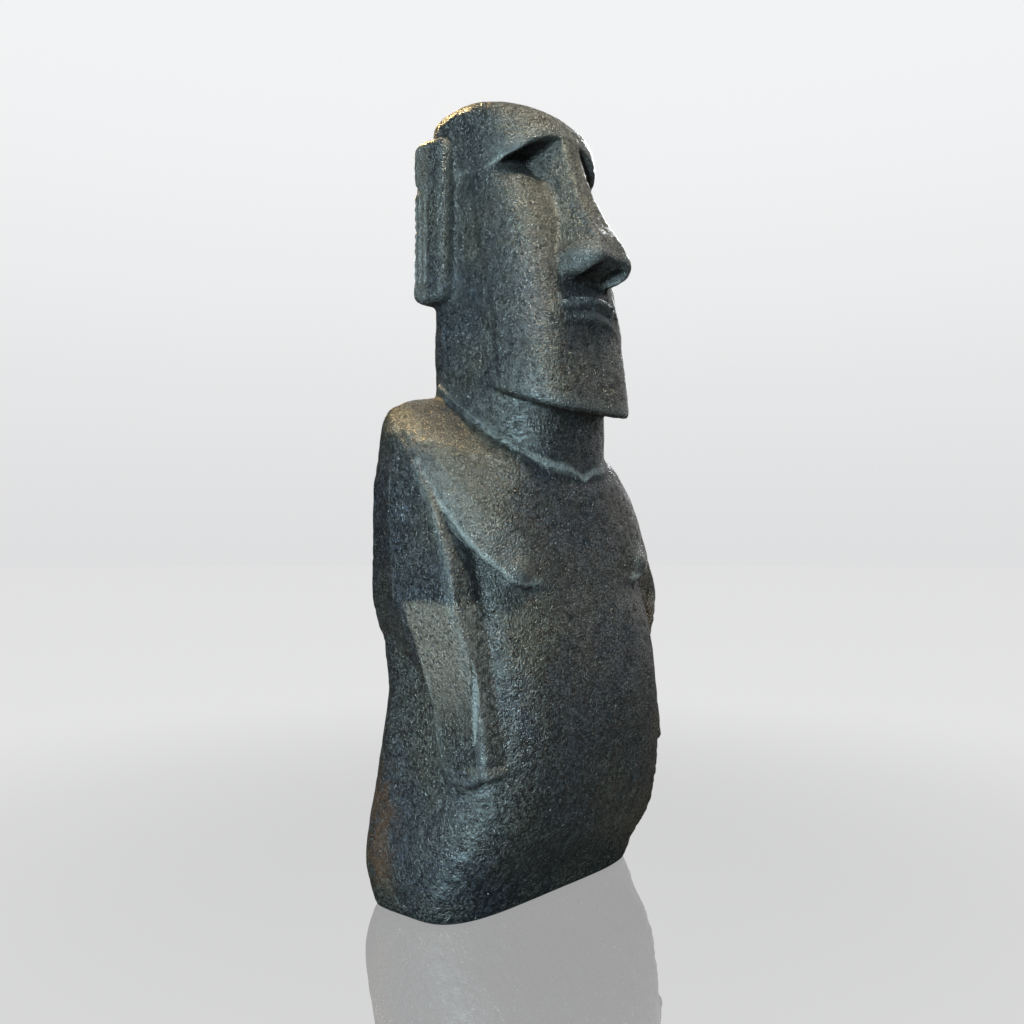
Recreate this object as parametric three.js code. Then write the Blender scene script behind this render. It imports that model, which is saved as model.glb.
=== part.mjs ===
// A moai: a half-length standing figure carved from one block of dark basalt.
//
// The whole statue is one solid. Its surface is the zero level of a signed-distance formula, built up
// from named sizes: a slab-like trunk with a swelling belly, a chest block above a slanting edge, upper
// arms that run back into the shoulder blades, forearms that reach forward to the hands, a rounded neck
// under a collar cord, and a long head with a brow ledge, a nose, lips and tall ears.
// A closed grid of rows and columns is then drawn onto that surface.
//
// Millimetres. +Z is up, the figure faces -Y, and the origin is in the middle of the flat underside.
// In the formula, `side` is the distance from the middle plane and `fore` the distance forward (-Y).

import * as THREE from 'three';

// ---- Driving sizes ---------------------------------------------------------------------------------

const CROWN = 2420;            // full height
const CHIN = 1410;             // lowest point of the chin
const FACE = CROWN - CHIN;     // height of the head, which the face's own sizes are shares of

const COLUMNS = 70;            // grid lines round the statue
const ROWS = 70;               // grid rows from the foot to the crown

// Trunk: [height, size] knots, joined by a smooth curve.
const HALF_WIDTH = [[0, 456], [120, 473], [400, 439], [630, 413], [850, 416], [1050, 424], [1160, 428],
  [1260, 440], [1450, 432]];
const BELLY = [[0, 186], [70, 212], [200, 292], [380, 344], [550, 359], [750, 341], [930, 307], [1100, 290],
  [1240, 284], [1450, 270]];
const BACK = [[0, 202], [120, 238], [400, 214], [600, 196], [760, 216], [950, 218], [1250, 222], [1450, 188]];
const CORNER = [[0, 3.8], [300, 4.4], [900, 4.2], [1050, 3.35], [1160, 2.6], [1260, 2.15], [1450, 2.1]];
const BACK_CORNER = 4.6;       // exponent of the rounded-square plan behind the middle plane
const FOOT_ROUND = 18;         // rounding of the edge round the underside
const CREASE = 18;             // rounding of the carved creases and edges of the body

// Shoulders: a yoke plane that falls forward, and a flatter plane over the shoulder tops.
const YOKE = { height: 1448, fall: 0.70, outerFall: 0.40, outerFrom: 220 };
const SHOULDER_TOP = { height: 1524, fall: 0.145 };

// Chest block: everything above a slanting edge stands proud of the ribs.
const CHEST_EDGE = { height: 1297, fall: 1.29, recess: 24, reach: 75 };
const NIPPLES = { side: 292, fore: 272, heights: [957, 982], radii: [34, 32, 30], round: 30 };
const FLANK_HOLLOW = { side: 452, fore: 262, z: 800, radii: [60, 62, 380], round: 40 };

// Arms: straight runs of [height, distance from the middle plane].
const ELBOW = 878;
const UPPER_ARM = [[560, 380], [680, 428], [800, 478], [ELBOW, 494], [1250, 464], [1450, 450]];
const FOREARM = [[380, 456], [600, 448], [ELBOW, 492]];
const ARM_FRONT = [[780, 226], [880, 221], [950, 208], [1110, 140], [1267, 34], [1450, -110]];
const ARM_BACK = [[600, 55], [ELBOW, -8], [1100, -45], [1350, -85]];
const BLADE_CANT = 0.46;       // how fast the shoulder blade turns in behind the arm
const LIMB = { fore: 126.5, elbowRadius: 99.5, wristRadius: 88 };  // forearm bar, from the elbow to the wrist
const WRIST = { fore: 210, z: 475 };
const FINGERTIPS = { fore: 288, z: 430 };

// Neck and collar.
const NECK = { side: 236, front: 276, back: 172, frontCorner: 3.0, backCorner: 3.8 };
const COLLAR = { height: 1450, fall: 0.70, point: 22, pointReach: 50, radius: 9.5 };

// Jaw underside and brow ledge.
const JAW = { fore: 350, fall: 0.34 };
const BROW = { height: 0.838, drop: 0.100, halfWidth: 220, power: 2.6 };

// Head plan: [share of the face's height, size] knots.
const CHEEK = [[0, 350], [0.10, 338], [0.30, 308], [0.50, 272], [0.62, 240], [0.70, 198], [0.76, 145],
  [0.84, 120], [1, 110]];
const HEAD_SIDE = [[0, 250], [0.2, 246], [0.5, 239], [0.75, 234], [1, 210]];
const HEAD_BACK = [[0, 162], [0.25, 172], [0.6, 178], [0.85, 178], [1, 170]];
const FOREHEAD = [[0, 245], [0.70, 246], [0.82, 240], [0.90, 222], [1, 190]];
const TEMPLE = [[0, 236], [0.75, 236], [0.85, 238], [1, 236]];
const NOSE_RIDGE = [[0.38, 400], [0.45, 408], [0.50, 394], [0.58, 345], [0.68, 295], [0.78, 258],
  [0.86, 235]];
const NOSE_SIDE = [[0.38, 76], [0.46, 73], [0.55, 56], [0.68, 43], [0.86, 40]];
const NOSE_FLARE = 0.34;       // how fast the nose widens from its ridge back to the face
const DOME = { drop: 130, side: 360, front: 260, back: 420 };

// Ears: tall flat slabs on the sides of the head.
const EAR = { fore: -96, z: 2025, halfDepth: 30, halfHeight: 215, round: 38, side: 282 };

// ---- Small tools of the formula --------------------------------------------------------------------

/** Smaller of two distances, with the crease rounded over `k`. */
function join(a, b, k) {
  const h = Math.max(k - Math.abs(a - b), 0) / k;
  return Math.min(a, b) - h * h * k / 4;
}

/** Larger of two distances, with the edge rounded over `k`: what both shapes share. */
function trim(a, b, k) {
  return -join(-a, -b, k);
}

/** Runs smoothly from 0 at `from` to 1 at `to`. */
function ease(from, to, value) {
  const t = Math.min(Math.max((value - from) / (to - from), 0), 1);
  return t * t * (3 - 2 * t);
}

/** Index of the knot span that holds `at`. */
function spanOf(knots, at) {
  let i = 0;
  while (i < knots.length - 2 && at >= knots[i + 1][0]) i += 1;
  return i;
}

/** Straight runs between knots. */
function straight(knots) {
  return (value) => {
    const at = Math.min(Math.max(value, knots[0][0]), knots[knots.length - 1][0]);
    const i = spanOf(knots, at);
    const [x0, y0] = knots[i];
    const [x1, y1] = knots[i + 1];
    return y0 + (y1 - y0) * (at - x0) / (x1 - x0);
  };
}

/** A smooth curve through knots that never overshoots them. */
function smooth(knots) {
  const gap = knots.slice(1).map((knot, i) => knot[0] - knots[i][0]);
  const slope = gap.map((g, i) => (knots[i + 1][1] - knots[i][1]) / g);
  const lean = knots.map((knot, i) => {
    if (i === 0) return slope[0];
    if (i === slope.length) return slope[i - 1];
    if (slope[i - 1] * slope[i] <= 0) return 0;
    const before = 2 * gap[i] + gap[i - 1];
    const after = gap[i] + 2 * gap[i - 1];
    return (before + after) / (before / slope[i - 1] + after / slope[i]);
  });
  return (value) => {
    const at = Math.min(Math.max(value, knots[0][0]), knots[knots.length - 1][0]);
    const i = spanOf(knots, at);
    const t = (at - knots[i][0]) / gap[i];
    const u = 1 - t;
    return (1 + 2 * t) * u * u * knots[i][1] + t * u * u * gap[i] * lean[i]
      + t * t * (3 - 2 * t) * knots[i + 1][1] - t * t * u * gap[i] * lean[i + 1];
  };
}

/** Distance to an upright slab whose plan is a rounded square with its own front and back depth. */
function slab(side, fore, halfWidth, front, back, frontCorner, backCorner) {
  const depth = fore > 0 ? front : back;
  const power = fore > 0 ? frontCorner : backCorner;
  const reach = (side / halfWidth) ** power + (Math.abs(fore) / depth) ** power;
  const scale = Math.max(reach ** (1 / power), 1e-6);
  return Math.hypot(side, fore) * (1 - 1 / scale);
}

/** Distance to an ellipsoid with the given half axes, centred on nothing. */
function ellipsoid(a, b, c, ra, rb, rc) {
  const near = Math.hypot(a / ra, b / rb, c / rc);
  const steep = Math.hypot(a / ra ** 2, b / rb ** 2, c / rc ** 2);
  return near * (near - 1) / Math.max(steep, 1e-6);
}

/** Distance, in side view, to a straight bar that tapers from `r0` to `r1` and has round ends. */
function bar(fore, z, f0, z0, f1, z1, r0, r1) {
  const df = f1 - f0;
  const dz = z1 - z0;
  const along = ((fore - f0) * df + (z - z0) * dz) / (df * df + dz * dz);
  const t = Math.min(Math.max(along, 0), 1);
  return Math.hypot(fore - f0 - t * df, z - z0 - t * dz) - (r0 + (r1 - r0) * t);
}

/** Height of a share of the face above the ground. */
function faceHeight(share) {
  return CHIN + share * FACE;
}

const profile = {
  halfWidth: smooth(HALF_WIDTH), belly: smooth(BELLY), back: smooth(BACK), corner: smooth(CORNER),
  upperArm: straight(UPPER_ARM), forearm: straight(FOREARM),
  armFront: smooth(ARM_FRONT), armBack: smooth(ARM_BACK),
  cheek: smooth(CHEEK), headSide: smooth(HEAD_SIDE), headBack: smooth(HEAD_BACK),
  forehead: smooth(FOREHEAD), temple: smooth(TEMPLE),
  noseRidge: smooth(NOSE_RIDGE), noseSide: smooth(NOSE_SIDE),
};

// ---- The statue's parts, as distances --------------------------------------------------------------

/** Cuts the trunk's top: the yoke falls forward and outward, the shoulder tops fall outward. */
function shoulderCut(side, fore, z) {
  const outer = Math.max(side - YOKE.outerFrom, 0);
  const yoke = (z - YOKE.height + YOKE.fall * fore + YOKE.outerFall * outer) / Math.hypot(1, YOKE.fall);
  const top = (z - SHOULDER_TOP.height + SHOULDER_TOP.fall * side) / Math.hypot(1, SHOULDER_TOP.fall);
  return trim(yoke, top, 60);
}

/** Trunk, chest block, arms and hands. The forearm's outer face ends `ahead` further forward. */
function trunk(side, fore, z, ahead) {
  const front = profile.belly(z);
  const back = profile.back(z);
  const corner = profile.corner(z);
  const low = Math.min(Math.max(1 - z / FOOT_ROUND, 0), 1);
  const tuck = FOOT_ROUND * (1 - Math.sqrt(1 - 0.98 * low * low));

  const edge = (CHEST_EDGE.height - CHEST_EDGE.fall * fore - z) / Math.hypot(1, CHEST_EDGE.fall);
  const recess = CHEST_EDGE.recess * Math.exp(-((edge / CHEST_EDGE.reach) ** 2))
    * ease(150, 330, side) * ease(50, 150, fore);
  let ribs = slab(side, fore, profile.halfWidth(z), front, back, corner, BACK_CORNER) + tuck + recess;
  const { radii, round } = FLANK_HOLLOW;
  const hollow = ellipsoid(side - FLANK_HOLLOW.side, fore - FLANK_HOLLOW.fore, z - FLANK_HOLLOW.z, ...radii);
  ribs = trim(ribs, -hollow, round);

  const armWidth = profile.upperArm(z);
  let chest = slab(side, fore, armWidth - 4, front, back, corner, BACK_CORNER);
  chest = trim(chest, edge, CREASE) + 8 * ease(290, 150, side);

  let upperArm = slab(side, fore, armWidth, 600, back, 8, 6);
  upperArm = trim(upperArm, fore - profile.armFront(z), CREASE);
  const blade = side - armWidth + BLADE_CANT * (profile.armBack(z) - fore);
  upperArm = trim(upperArm, blade / Math.hypot(1, BLADE_CANT), CREASE);
  upperArm = trim(upperArm, 600 - z, 10) + 14 * ease(1200, 1320, z);

  const lower = bar(fore, z, LIMB.fore, ELBOW, WRIST.fore, WRIST.z, LIMB.elbowRadius, LIMB.wristRadius);
  const hand = bar(fore, z, WRIST.fore, WRIST.z, FINGERTIPS.fore, FINGERTIPS.z, 56, 18);
  let forearm = trim(side - profile.forearm(z), Math.min(lower, hand), CREASE);
  forearm = trim(forearm, z - ELBOW, 4);
  forearm = trim(forearm, ribs - 13 - 80 * ease(250, 170, fore - ahead), 8);

  let body = join(ribs, chest, CREASE);
  body = join(body, upperArm, CREASE);
  body = join(body, forearm, CREASE);
  return trim(body, shoulderCut(side, fore, z), 50 + 30 * ease(200, 340, side));
}

/** Height above the plane that the collar lies in, which dips to a point at the front. */
function collarPlane(side, fore, z) {
  const dip = COLLAR.point * Math.max(0, 1 - side / COLLAR.pointReach);
  return (z - COLLAR.height + COLLAR.fall * fore + dip) / Math.hypot(1, COLLAR.fall);
}

/** Height of the brow ledge's edge. */
function browEdge(side) {
  return faceHeight(BROW.height - BROW.drop * (side / BROW.halfWidth) ** BROW.power);
}

/** Height of the jaw's slanting underside. */
function jawPlane(fore) {
  return CHIN + JAW.fall * (JAW.fore - fore);
}

/** The nose: two flaring sides under a ridge line, with wings. */
function nose(side, fore, z, share) {
  const ridge = profile.noseRidge(share);
  const flank = side - profile.noseSide(share) - NOSE_FLARE * Math.max(ridge - fore, 0);
  let shape = trim(fore - ridge, flank / Math.hypot(1, NOSE_FLARE), 14);
  const base = faceHeight(0.413) + 0.34 * (fore - 310) - z;
  shape = trim(shape, base / Math.hypot(1, 0.34), 16);
  shape = trim(shape, z - faceHeight(0.87), 20);
  shape = trim(shape, 50 - fore, 20);
  return join(shape, ellipsoid(side - 80, fore - 330, z - faceHeight(0.452), 40, 66, 46), 30);
}

/** The lips on their low mound. */
function mouth(side, fore, z) {
  const bent = z + 20 * (side / 130) ** 2;
  const mound = ellipsoid(side, fore - 264, bent - faceHeight(0.315), 190, 64, 75);
  const upper = ellipsoid(side, fore - 292, bent - faceHeight(0.340), 150, 58, 21);
  const lower = ellipsoid(side, fore - 290, bent - faceHeight(0.296), 140, 56, 22);
  return join(mound, join(upper, lower, 8), 8);
}

/** One tall ear, a slab with rounded corners. */
function ear(side, fore, z) {
  const across = Math.max(Math.abs(fore - EAR.fore) - EAR.halfDepth, 0);
  const along = Math.max(Math.abs(z - EAR.z) - EAR.halfHeight, 0);
  const outline = Math.hypot(across, along) - EAR.round;
  return trim(trim(outline, side - EAR.side, 18), 180 - side, 10);
}

/** The head: a lower block with a jaw, an upper block with a brow ledge, nose, mouth and ears. */
function head(side, fore, z) {
  const share = (z - CHIN) / FACE;
  const back = profile.headBack(share);
  let lower = slab(side, fore, profile.headSide(share), profile.cheek(share), back, 4.4, 4.0);
  lower = trim(lower, (jawPlane(fore) - z) / Math.hypot(1, JAW.fall), 28);
  let upper = slab(side, fore, profile.temple(share), profile.forehead(share), back, 2.9, 4.6);
  upper = trim(upper, browEdge(side) - z, 20);
  let shape = join(lower, upper, 10);
  const bow = (side / DOME.side) ** 2 + (fore / (fore > 0 ? DOME.front : DOME.back)) ** 2;
  shape = trim(shape, (z - CROWN + DOME.drop * bow) * 0.80, 35);
  shape = join(shape, nose(side, fore, z, share), 10);
  shape = join(shape, mouth(side, fore, z), 24);
  return join(shape, ear(side, fore, z), 10);
}

/** The neck, from inside the trunk up into the head. */
function neckPlan(side, fore) {
  return slab(side, fore, NECK.side, NECK.front, NECK.back, NECK.frontCorner, NECK.backCorner);
}

/** Distance from a point to the statue's surface, negative inside. */
function statue(x, y, z) {
  const side = Math.hypot(x, 0.1);
  const fore = -y;
  let shape = trunk(side, fore, z, x < 0 ? 90 : 0);
  const height = NIPPLES.heights[x < 0 ? 0 : 1];
  shape = join(shape, ellipsoid(side - NIPPLES.side, fore - NIPPLES.fore, z - height, ...NIPPLES.radii),
    NIPPLES.round);
  const plan = neckPlan(side, fore);
  shape = join(shape, trim(plan, Math.max(z - 1700, 1100 - z), 20), 8);
  const cord = Math.hypot(plan - 4, collarPlane(side, fore, z)) - COLLAR.radius;
  shape = join(shape, trim(cord, -100 - fore, 10), 8);
  return join(shape, head(side, fore, z), 10);
}

// ---- The grid drawn onto the surface ---------------------------------------------------------------

/** Lines that a grid row follows, as heights above them, with the row's share of the way up. */
const EDGE_LINES = [
  { share: 0.50, above: (x, y, z) => collarPlane(Math.abs(x), -y, z) },
  { share: 0.565, above: (x, y, z) => z - jawPlane(-y) - 6 },
  { share: 0.83, above: (x, y, z) => z - browEdge(Math.abs(x)) - 4 },
];

/** Direction in which the distance grows. */
function slopeAt([x, y, z]) {
  const h = 1;
  return [
    (statue(x + h, y, z) - statue(x - h, y, z)) / (2 * h),
    (statue(x, y + h, z) - statue(x, y - h, z)) / (2 * h),
    (statue(x, y, z + h) - statue(x, y, z - h)) / (2 * h),
  ];
}

/** Moves a point straight onto the surface. A point of the foot ring stays on the ground. */
function settle(point, onGround) {
  for (let step = 0; step < 2; step += 1) {
    const gap = statue(...point);
    const slope = slopeAt(point);
    if (onGround) slope[2] = 0;
    const square = Math.max(slope[0] ** 2 + slope[1] ** 2 + slope[2] ** 2, 0.3);
    const length = Math.abs(gap) * Math.sqrt(slope[0] ** 2 + slope[1] ** 2 + slope[2] ** 2) / square;
    const share = Math.min(1, 20 / Math.max(length, 1e-9));
    point = point.map((value, axis) => value - share * gap * slope[axis] / square);
  }
  return point;
}

/** The outermost crossing of a ray with the surface. */
function strike(origin, direction) {
  const at = (t) => origin.map((value, axis) => value + direction[axis] * t);
  const step = 12;
  let inside = 0;
  for (let t = 0; t < 750; t += step) {
    if (statue(...at(t)) < 0) inside = t;
  }
  let outside = inside + step;
  for (let k = 0; k < 12; k += 1) {
    const middle = (inside + outside) / 2;
    if (statue(...at(middle)) < 0) inside = middle;
    else outside = middle;
  }
  return at((inside + outside) / 2);
}

/** The first grid: rays that start on a line inside the statue and fan up over the crown. */
function firstGrid() {
  const start = straight([[0, 0], [0.36, 950], [0.44, 1120], [0.50, 1260], [0.55, 1420], [0.60, 1620],
    [0.88, 2200], [0.92, 2220], [1, 2220]]);
  const tilt = straight([[0, 0], [0.36, 0], [0.44, 35], [0.50, 32], [0.55, 5], [0.60, -24], [0.88, -24],
    [0.92, 0], [1, 89]]);
  const forward = straight([[0, 20], [1200, 40], [1500, 60], [2200, 20]]);
  const grid = [];
  for (let row = 0; row < ROWS; row += 1) {
    const z = start(row / ROWS);
    const lift = THREE.MathUtils.degToRad(tilt(row / ROWS));
    const ring = [];
    for (let column = 0; column < COLUMNS; column += 1) {
      const turn = 2 * Math.PI * column / COLUMNS;
      const ray = [Math.sin(turn) * Math.cos(lift), Math.cos(turn) * Math.cos(lift), Math.sin(lift)];
      ring.push(strike([0, -forward(z), z], ray));
    }
    grid.push(ring);
  }
  return grid;
}

/** How closely the rows and columns are drawn at a point: closer on the head, closest on the face. */
function closeness([, y, z]) {
  return 1 + 1.3 * ease(1300, 1500, z) * ease(-100, 150, -y) + 0.5 * ease(1350, 1500, z);
}

/** Running length along a line of points, weighted by closeness. */
function lengths(line) {
  const sums = [0];
  for (let i = 1; i < line.length; i += 1) {
    const step = Math.hypot(...line[i].map((value, axis) => value - line[i - 1][axis]));
    sums.push(sums[i - 1] + step * (closeness(line[i]) + closeness(line[i - 1])) / 2);
  }
  return sums;
}

/** Where, as a fractional index, each wanted length falls on a line. */
function placesOf(line, fixed) {
  const sums = lengths(line);
  const last = line.length - 1;
  const knots = [[0, 0]];
  for (const { share, above } of fixed) {
    let i = last - 1;
    while (i > 0 && !(above(...line[i]) < 0 && above(...line[i + 1]) >= 0)) i -= 1;
    const low = above(...line[i]);
    const t = low / (low - above(...line[i + 1]));
    knots.push([Math.round(share * last), sums[i] + t * (sums[i + 1] - sums[i])]);
  }
  knots.push([last, sums[last]]);
  const wanted = straight(knots);
  const back = straight(sums.map((sum, i) => [sum + i * 1e-7, i]));
  return line.map((point, i) => back(wanted(i)));
}

/** Evens out the places of neighbouring lines, so that the grid doesn't jump from line to line. */
function evenOut(places, rounds, closed) {
  let now = places;
  for (let round = 0; round < rounds; round += 1) {
    const last = now.length - 1;
    now = now.map((line, i) => {
      const before = now[i > 0 ? i - 1 : (closed ? last : 0)];
      const after = now[i < last ? i + 1 : (closed ? 0 : last)];
      return line.map((place, k) => before[k] / 4 + place / 2 + after[k] / 4);
    });
  }
  return now;
}

/** The point at a fractional index of a line. */
function pointAt(line, place) {
  const i = Math.min(Math.max(Math.floor(place), 0), line.length - 2);
  const t = place - i;
  return line[i].map((value, axis) => value * (1 - t) + line[i + 1][axis] * t);
}

/** Spaces lines evenly, with rows held on the edge lines where `fixed` names them. */
function respace(lines, fixed, rounds) {
  const exact = lines.map((line) => placesOf(line, fixed));
  const even = evenOut(exact, rounds, fixed.length > 0);
  const held = fixed.map(({ share }) => Math.round(share * (lines[0].length - 1)));
  return lines.map((line, i) => line.map((point, k) => (
    pointAt(line, held.includes(k) ? exact[i][k] : even[i][k]))));
}

/** Swaps rows and columns. */
function turned(lines) {
  return lines[0].map((point, k) => lines.map((line) => line[k]));
}

/** Spaces every column from foot to crown. */
function spaceColumns(grid, pole) {
  const columns = turned(grid).map((column) => [...column, pole]);
  const rows = turned(respace(columns, EDGE_LINES, 8)).slice(0, -1);
  return rows.map((ring, row) => ring.map((point) => settle(point, row === 0)));
}

/** Spaces every row, each half apart, so that the middle lines of the front and back stay there. */
function spaceRows(grid) {
  const half = COLUMNS / 2;
  const right = respace(grid.map((ring) => ring.slice(0, half + 1)), [], 6);
  const left = respace(grid.map((ring) => [...ring.slice(half), ring[0]]), [], 6);
  return grid.map((ring, row) => [...right[row], ...left[row].slice(1, -1)]
    .map((point) => settle(point, row === 0)));
}

/** Draws each free point half way to the mean of its four neighbours. */
function fair(grid, pole) {
  const held = EDGE_LINES.map(({ share }) => Math.round(share * ROWS));
  return grid.map((ring, row) => ring.map((point, column) => {
    if (row === ROWS - 1 || held.includes(row)) return point;
    const around = [
      ring[(column + 1) % COLUMNS], ring[(column + COLUMNS - 1) % COLUMNS],
      grid[Math.max(row - 1, 0)][column], row + 1 < ROWS ? grid[row + 1][column] : pole,
    ];
    const drawn = point.map((value, axis) => (
      value / 2 + around.reduce((sum, other) => sum + other[axis], 0) / 8));
    return settle(drawn, row === 0);
  }));
}

/** The finished grid. */
function surfaceGrid(pole) {
  let grid = firstGrid();
  for (let round = 0; round < 4; round += 1) {
    grid = spaceRows(spaceColumns(grid, pole));
    for (let k = 0; k < 2; k += 1) grid = fair(grid, pole);
  }
  grid = spaceColumns(grid, pole);
  grid[0].forEach((point) => { point[2] = 0; });
  return grid;
}

/**
 * The closed mesh: the grid, a flat fan under the foot and a small fan over the crown. Each square of
 * the grid is split along the diagonal that lies closer to the surface.
 */
function statueGeometry() {
  const pole = [0, 0, CROWN];
  const grid = surfaceGrid(pole);
  const foot = [0, 0, 0];
  const positions = [...grid.flat(), foot, pole].flat();
  const footIndex = ROWS * COLUMNS;
  const poleIndex = footIndex + 1;
  const faces = [];
  const gapHalfWay = (p, q) => Math.abs(statue(...p.map((value, axis) => (value + q[axis]) / 2)));
  for (let column = 0; column < COLUMNS; column += 1) {
    const next = (column + 1) % COLUMNS;
    faces.push(footIndex, column, next);
    for (let row = 0; row < ROWS - 1; row += 1) {
      const a = row * COLUMNS + column;
      const b = row * COLUMNS + next;
      const c = a + COLUMNS;
      const d = b + COLUMNS;
      const rising = gapHalfWay(grid[row][column], grid[row + 1][next]);
      const falling = gapHalfWay(grid[row][next], grid[row + 1][column]);
      if (rising < falling) faces.push(a, c, d, a, d, b);
      else faces.push(a, c, b, b, c, d);
    }
    const top = (ROWS - 1) * COLUMNS;
    faces.push(top + next, top + column, poleIndex);
  }
  const geometry = new THREE.BufferGeometry();
  geometry.setAttribute('position', new THREE.Float32BufferAttribute(positions, 3));
  geometry.setIndex(faces);
  geometry.computeVertexNormals();
  return geometry;
}

// ---- The model -------------------------------------------------------------------------------------

const basalt = new THREE.MeshStandardMaterial({ color: 0x474a4b, roughness: 0.6, metalness: 0 });
basalt.name = 'basalt';

const figure = new THREE.Mesh(statueGeometry(), basalt);
figure.name = 'statue';

const group = new THREE.Group();
group.add(figure);

export default group;
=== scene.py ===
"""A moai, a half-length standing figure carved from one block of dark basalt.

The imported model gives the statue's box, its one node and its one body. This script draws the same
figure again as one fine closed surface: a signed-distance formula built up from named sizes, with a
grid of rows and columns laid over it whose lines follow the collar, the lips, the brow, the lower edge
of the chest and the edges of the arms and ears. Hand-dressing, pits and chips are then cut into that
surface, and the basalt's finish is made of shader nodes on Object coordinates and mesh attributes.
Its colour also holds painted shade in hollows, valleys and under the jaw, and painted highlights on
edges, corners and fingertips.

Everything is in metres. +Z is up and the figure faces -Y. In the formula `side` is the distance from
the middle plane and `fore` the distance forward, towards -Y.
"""

import logging
import math
from dataclasses import dataclass, field
from enum import Enum
from typing import Callable, Sequence

import bpy
import numpy as np
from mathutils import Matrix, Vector


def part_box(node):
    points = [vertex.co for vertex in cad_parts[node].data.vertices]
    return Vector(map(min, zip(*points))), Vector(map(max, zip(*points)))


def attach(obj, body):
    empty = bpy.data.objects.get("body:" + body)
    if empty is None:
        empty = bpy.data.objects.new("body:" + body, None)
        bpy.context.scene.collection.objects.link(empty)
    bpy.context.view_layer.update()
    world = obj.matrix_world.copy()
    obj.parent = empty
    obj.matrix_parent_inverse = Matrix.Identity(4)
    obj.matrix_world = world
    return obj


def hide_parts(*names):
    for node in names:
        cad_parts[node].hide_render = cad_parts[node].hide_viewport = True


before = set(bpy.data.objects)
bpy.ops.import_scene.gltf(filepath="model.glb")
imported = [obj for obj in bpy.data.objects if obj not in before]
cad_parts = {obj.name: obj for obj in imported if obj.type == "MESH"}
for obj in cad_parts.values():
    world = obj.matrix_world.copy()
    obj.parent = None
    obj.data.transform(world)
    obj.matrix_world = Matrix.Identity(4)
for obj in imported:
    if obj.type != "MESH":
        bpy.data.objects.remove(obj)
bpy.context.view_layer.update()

LOG = logging.getLogger("moai")
Array = np.ndarray
Knots = Sequence[tuple[float, float]]


# ---- Small tools of the formula --------------------------------------------------------------------

def join(a: Array, b: Array, k: float | Array) -> Array:
    """Smaller of two distances, less a parabola of depth k/4 where they are within k of each other."""
    near = np.maximum(k - np.abs(a - b), 0.0) / k
    return np.minimum(a, b) - near * near * k * 0.25


def trim(a: Array, b: Array, k: float | Array) -> Array:
    """Larger of two distances, rounded over k where they meet: what both shapes share."""
    return -join(-a, -b, k)


def ease(start: float, end: float, value: Array) -> Array:
    """Runs from 0 at start to 1 at end along 3t^2 - 2t^3."""
    t = np.clip((value - start) / (end - start), 0.0, 1.0)
    return t * t * (3.0 - 2.0 * t)


def bell(value: Array, width: float) -> Array:
    """A bell curve of height 1: exp(-(value/width)^2)."""
    return np.exp(-(value / width) ** 2)


def split(points: Array) -> tuple[Array, Array, Array]:
    """Distance from the middle plane, distance forward and height of points (..., 3)."""
    return np.abs(points[..., 0]), -points[..., 1], points[..., 2]


def ellipsoid(offsets: tuple[Array, Array, Array], radii: tuple[float, float, float]) -> Array:
    """Near distance to an ellipsoid: k(k - 1)/g, with k the scaled radius and g its gradient.

    Args:
        offsets: distances from the centre along the three axes.
        radii: the half axes.

    Returns:
        Distance, negative inside.
    """
    k = np.sqrt(sum((o / r) ** 2 for o, r in zip(offsets, radii)))
    g = np.sqrt(sum((o / r ** 2) ** 2 for o, r in zip(offsets, radii)))
    return k * (k - 1.0) / np.maximum(g, 1e-6)


def slab(side: Array, fore: Array, half_width: Array, front: Array, back: Array,
         corners: tuple[float | Array, float]) -> Array:
    """Distance to an upright slab whose plan is a superellipse, r(1 - 1/k).

    k is (|side/half width|^n + |fore/depth|^n)^(1/n), with its own depth and exponent n in front of the
    middle and behind it.

    Args:
        side: distance from the middle plane.
        fore: distance forward.
        half_width: half the plan's width.
        front: depth in front of the middle.
        back: depth behind it.
        corners: exponents in front and behind; a larger one gives squarer corners.

    Returns:
        Distance, negative inside.
    """
    ahead = fore > 0
    depth = np.where(ahead, front, back)
    n = np.where(ahead, corners[0], corners[1])
    k = ((side / half_width) ** n + (np.abs(fore) / depth) ** n) ** (1.0 / n)
    return np.hypot(side, fore) * (1.0 - 1.0 / np.maximum(k, 1e-6))


def bar(fore: Array, z: Array, start: tuple[float, float], end: tuple[float, float],
        radii: tuple[float, float]) -> Array:
    """Distance, in side view, to a straight bar with round ends whose radius runs from one to the other."""
    df, dz = end[0] - start[0], end[1] - start[1]
    t = np.clip(((fore - start[0]) * df + (z - start[1]) * dz) / (df * df + dz * dz), 0.0, 1.0)
    return (np.hypot(fore - start[0] - t * df, z - start[1] - t * dz)
            - (radii[0] + (radii[1] - radii[0]) * t))


def straight(knots: Knots, at: Array) -> Array:
    """Straight runs between (place, value) knots."""
    places, values = zip(*knots)
    return np.interp(at, places, values)


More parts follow.
